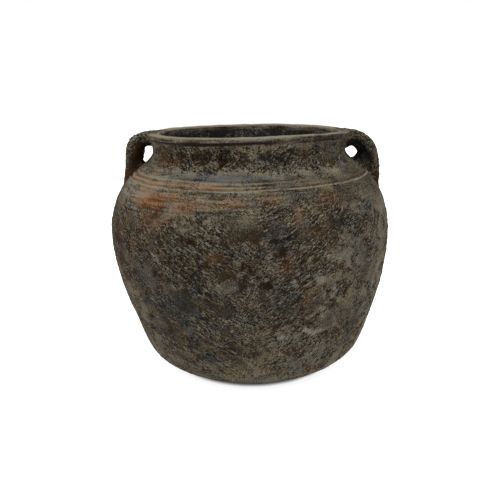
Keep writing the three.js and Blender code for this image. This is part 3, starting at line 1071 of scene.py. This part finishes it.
def linear(colour):
    """An sRGB hex colour as linear values, opaque."""
    channels = [int(colour[place:place + 2], 16) / 255 for place in (1, 3, 5)]
    return (*(c / 12.92 if c <= 0.04045 else ((c + 0.055) / 1.055) ** 2.4 for c in channels), 1.0)


def add(tree, kind, inputs, **settings):
    """A new node with its settings, and its inputs set or linked."""
    node = tree.nodes.new("ShaderNode" + kind)
    for name, value in settings.items():
        setattr(node, name, value)
    for key, value in inputs.items():
        if isinstance(value, bpy.types.NodeSocket):
            tree.links.new(value, node.inputs[key])
        else:
            node.inputs[key].default_value = value
    return node


# Sizes in millimetres of the marks that colour the clay, and how far they are drawn out. Real flecks of wash
# go down to the grit of the clay, about 0.3, which is too fine to show, so they are drawn coarser
FLECK_SIZE = 1.3
FOLD_SIZE, FOLD_LENGTH = 2.3, 2.0
FOLD_DRIFT_SIZE, FOLD_DRIFT = 7, 4
FOLD_SLANT = math.radians(STROKE_SLANT) / MM
SLANT_TURNOVER = 40
TONE_SIZE = 14
BRUSH_SIZE, BRUSH_SHRINK = 1.8, 0.06
BUMP_HEIGHT = 0.5


def weathered_earthenware(name, hollow, crust, bare, soot_and_shade):
    """Unglazed earthenware, smoke-fired, rubbed with a lime wash that weather has taken off again.

    The eye sees dark clay in the hollows and a pale crust of wash broken into fine wrinkles and flecks on
    what stands up, partly drawn as painted shade of the relief; bare orange clay and smoke black in patches,
    with painted shade laid in the same layer as the smoke black; and a matt surface with hardly any shine.
    The hollows and the crust each have a cold and a warm tone. Bare clay and the layer of smoke black and
    painted shade each have a colour for the hollows and one for the crust.
    """
    material = bpy.data.materials.new(name)
    material.use_nodes = True
    tree = material.node_tree
    tree.nodes.clear()

    marks = {mark: add(tree, "Attribute", {}, attribute_name=mark).outputs["Fac"] for mark in MARKS}
    place = add(tree, "TexCoord", {}).outputs["Object"]
    along = add(tree, "Mapping", {0: place, 3: (BRUSH_SHRINK, BRUSH_SHRINK, 1.0)}).outputs[0]
    drift_scale = 1 / (FOLD_DRIFT_SIZE * MM)
    drift = add(tree, "TexNoise", {"Vector": place, "Scale": drift_scale, "Detail": 2.0}).outputs["Color"]
    drift = add(tree, "VectorMath", {0: drift, 1: (0.5, 0.5, 0.5)}, operation="SUBTRACT").outputs[0]
    reach = (FOLD_DRIFT * MM,) * 3
    drifted = add(tree, "VectorMath", {0: drift, 1: reach, 2: place}, operation="MULTIPLY_ADD").outputs[0]
    axes = add(tree, "SeparateXYZ", {0: place}).outputs
    slants = []
    for slant in (FOLD_SLANT, -FOLD_SLANT):
        angle = add(tree, "Math", {0: axes["Z"], 1: slant}, operation="MULTIPLY").outputs[0]
        turning = {"Vector": drifted, "Angle": angle}
        slanted = add(tree, "VectorRotate", turning, rotation_type="Z_AXIS").outputs[0]
        slants.append(add(tree, "Mapping", {0: slanted, 3: (1.0, 1.0, 1 / FOLD_LENGTH)}).outputs[0])
    # Each kind of mark as noise of about -0.5 to 0.5, by its size, its detail and how far it curls
    speckles = []
    for size, detail, curl, spread in (
        (FLECK_SIZE, 2.0, 0.6, place),
        (FOLD_SIZE, 1.5, 0.9, slants[0]),
        (FOLD_SIZE, 1.5, 0.9, slants[1]),
        (TONE_SIZE, 4.0, 0.0, place),
        (BRUSH_SIZE, 2.0, 0.0, along),
    ):
        value = add(tree, "TexNoise", {
            "Vector": spread,
            "Scale": 1 / (size * MM),
            "Detail": detail,
            "Roughness": 0.6,
            "Distortion": curl,
        }).outputs["Fac"]
        levels = {0: value, 1: 0.3, 2: 0.7, 3: -0.5, 4: 0.5}
        speckles.append(add(tree, "MapRange", levels, clamp=False).outputs[0])
    fleck, falling_fold, rising_fold, tone, streak = speckles
    turnover = SLANT_TURNOVER * MM
    right = add(tree, "MapRange", {0: axes["X"], 1: -turnover, 2: turnover}).outputs[0]
    fold = add(tree, "Mix", {0: right, 2: falling_fold, 3: rising_fold}).outputs[0]
    fold = add(tree, "Math", {0: fold}, operation="ABSOLUTE").outputs[0]
    fold = add(tree, "MapRange", {0: fold, 1: 0.0, 2: 0.26, 3: 0.55, 4: -0.55}).outputs[0]
    streaked = add(tree, "Math", {0: streak, 1: marks["thrown"]}, operation="MULTIPLY").outputs[0]
    folded = add(tree, "Math", {0: fold, 1: marks["crust"]}, operation="MULTIPLY").outputs[0]
    flecked = add(tree, "MapRange", {0: marks["crust"], 3: 0.6, 4: 1.0}).outputs[0]
    flecked = add(tree, "Math", {0: fleck, 1: flecked}, operation="MULTIPLY").outputs[0]
    # What stands up in the relief and the bump is made paler and the hollows darker: partly the crust of
    # wash, partly painted shade of the relief
    pale = marks["wash"]
    for weight, source in (
        (0.5, marks["fine"]),
        (2.1, folded),
        (0.65, flecked),
        (0.12, tone),
        (0.4, streaked),
    ):
        pale = add(tree, "Math", {0: source, 1: weight, 2: pale}, operation="MULTIPLY_ADD").outputs[0]
    pale = add(tree, "MapRange", {0: pale, 1: 0.1, 2: 0.82}, interpolation_type="SMOOTHSTEP").outputs[0]
    warm = add(tree, "MapRange", {0: tone, 1: -0.4, 2: 0.4}).outputs[0]
    strongly_bare = add(tree, "Math", {0: marks["bare"], 1: 2.0}, operation="POWER").outputs[0]
    bare_shares = (marks["bare"], strongly_bare)
    colours = []
    for (cold, warmer), share, bared, soot_and_shade_layer in zip((hollow, crust), bare_shares, bare, soot_and_shade):
        colour = linear(cold)
        for cover_share, layer in ((warm, warmer), (share, bared), (marks["soot_and_shade"], soot_and_shade_layer)):
            layers = {0: cover_share, 6: colour, 7: linear(layer)}
            colour = add(tree, "Mix", layers, data_type="RGBA").outputs[2]
        colours.append(colour)
    colour = add(tree, "Mix", {0: pale, 6: colours[0], 7: colours[1]}, data_type="RGBA").outputs[2]
    height = add(tree, "Math", {0: fleck, 1: 0.4, 2: folded}, operation="MULTIPLY_ADD").outputs[0]
    height = add(tree, "Math", {0: height, 1: BUMP_HEIGHT * MM}, operation="MULTIPLY").outputs[0]
    bump = add(tree, "Bump", {"Strength": 1.0, "Distance": 1.0, "Height": height}).outputs[0]
    rough = add(tree, "MapRange", {0: pale, 3: 0.78, 4: 0.95}).outputs[0]
    shader = add(tree, "BsdfPrincipled", {
        "Base Color": colour,
        "Roughness": rough,
        "Normal": bump,
        "IOR": 1.5,
        "Specular IOR Level": 0.05,
    })
    add(tree, "OutputMaterial", {"Surface": shader.outputs[0]})
    return material


pieces = build_body()
pieces["heel_coil"] = build_heel_coil()
for side, shape in HANDLES.items():
    pieces.update(build_handle(side, shape))

outside_clay = weathered_earthenware(
    "smoke-fired earthenware, lime washed",
    hollow=("#1e1911", "#332718"),
    crust=("#8a887e", "#8d8169"),
    bare=("#5a361a", "#9c7250"),
    soot_and_shade=("#222221", "#6a6a68"),
)
# The inside's clay: left without wash, and darker than the outside's as painted shade inside the pot
inside_clay = weathered_earthenware(
    "smoke-fired earthenware, left raw",
    hollow=("#1b1611", "#2c2218"),
    crust=("#504a3c", "#584e3a"),
    bare=("#40260f", "#70472d"),
    soot_and_shade=("#14130f", "#36342b"),
)
FINISHES = {
    "wall_clay": outside_clay,
    "handle_clay": outside_clay,
    "luting_clay": outside_clay,
    "inner_clay": inside_clay,
}
SLOTS = {row["node"]: row["material_slot"] for row in frame["record"]["subparts"]}
for node, piece in pieces.items():
    piece.data.materials.append(FINISHES[SLOTS[node]])
    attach(piece, "root")
    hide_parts(node)

# Studio

CAMERA_PLACE = Vector((-0.0013, -0.600, 0.2928))
CAMERA_AIM = Vector((-0.0013, 0.0, 0.1191))
CAMERA_LENS = 39.8
SENSOR_WIDTH = 36.0
CAMERA_ROLL = math.radians(1.0)
FLOOR_SIZE = 8.0
FLOOR_LIFT = 0.8
CONTACT_REACH = 0.005
CONTACT_DARK, CONTACT_CLEAR = 0.25, 0.75
CONTACT_SAMPLES = 16
ROOM_LIGHT = 0.75
KEY_PLACE = Vector((-0.25, -0.85, 1.45))
KEY_SIZE = 1.3
KEY_POWER = 7.0


def place_camera():
    """The camera in front of the pot, looking down on it a little and rolled by a degree."""
    data = bpy.data.cameras.new("camera")
    data.lens = CAMERA_LENS
    data.sensor_width = SENSOR_WIDTH
    camera = bpy.data.objects.new("camera", data)
    bpy.context.scene.collection.objects.link(camera)
    facing = (CAMERA_AIM - CAMERA_PLACE).to_track_quat("-Z", "Y").to_matrix().to_4x4()
    camera.matrix_world = Matrix.Translation(CAMERA_PLACE) @ facing @ Matrix.Rotation(-CAMERA_ROLL, 4, "Z")
    bpy.context.scene.camera = camera


def seen_directly(tree):
    """1 for rays that show a surface to the eye, straight or by gloss or glass, and 0 for other light."""
    rays = add(tree, "LightPath", {}).outputs
    shown = rays["Is Camera Ray"]
    for kind in ("Is Glossy Ray", "Is Transmission Ray"):
        shown = add(tree, "Math", {0: shown, 1: rays[kind]}, operation="ADD", use_clamp=True).outputs[0]
    return shown


def lay_floor():
    """Matt white paper, which keeps the pot's shadow and elsewhere runs out into the white behind it."""
    bpy.ops.mesh.primitive_plane_add(size=FLOOR_SIZE)
    floor = bpy.context.object
    floor.name = "floor"
    material = bpy.data.materials.new("matt white paper")
    material.use_nodes = True
    tree = material.node_tree
    tree.nodes.clear()
    paper = add(tree, "BsdfDiffuse", {"Color": linear("#f2f2f2")}).outputs[0]
    contact = {"Distance": CONTACT_REACH}
    open_floor = add(tree, "AmbientOcclusion", contact, samples=CONTACT_SAMPLES).outputs["AO"]
    lifted = {0: open_floor, 1: CONTACT_DARK, 2: CONTACT_CLEAR, 4: FLOOR_LIFT}
    open_floor = add(tree, "MapRange", lifted).outputs[0]
    lift = add(tree, "Math", {0: seen_directly(tree), 1: open_floor}, operation="MULTIPLY").outputs[0]
    glow = add(tree, "Emission", {"Color": linear("#ffffff"), "Strength": lift}).outputs[0]
    both = add(tree, "AddShader", {0: paper, 1: glow}).outputs[0]
    add(tree, "OutputMaterial", {"Surface": both})
    floor.data.materials.append(material)


def light_room():
    """Even white light from all round, and one large soft lamp above the left shoulder of the viewer."""
    world = bpy.data.worlds.new("white room")
    world.use_nodes = True
    tree = world.node_tree
    tree.nodes.clear()
    strength = add(tree, "MapRange", {0: seen_directly(tree), 3: ROOM_LIGHT, 4: 1.0}).outputs[0]
    light = add(tree, "Background", {"Color": linear("#ffffff"), "Strength": strength}).outputs[0]
    add(tree, "OutputWorld", {"Surface": light})
    bpy.context.scene.world = world
    data = bpy.data.lights.new("key", "AREA")
    data.energy = KEY_POWER
    data.size = KEY_SIZE
    key = bpy.data.objects.new("key", data)
    bpy.context.scene.collection.objects.link(key)
    key.location = KEY_PLACE
    key.rotation_euler = (CAMERA_AIM - KEY_PLACE).to_track_quat("-Z", "Y").to_euler()


place_camera()
lay_floor()
light_room()
bpy.context.scene.view_settings.view_transform = "Standard"
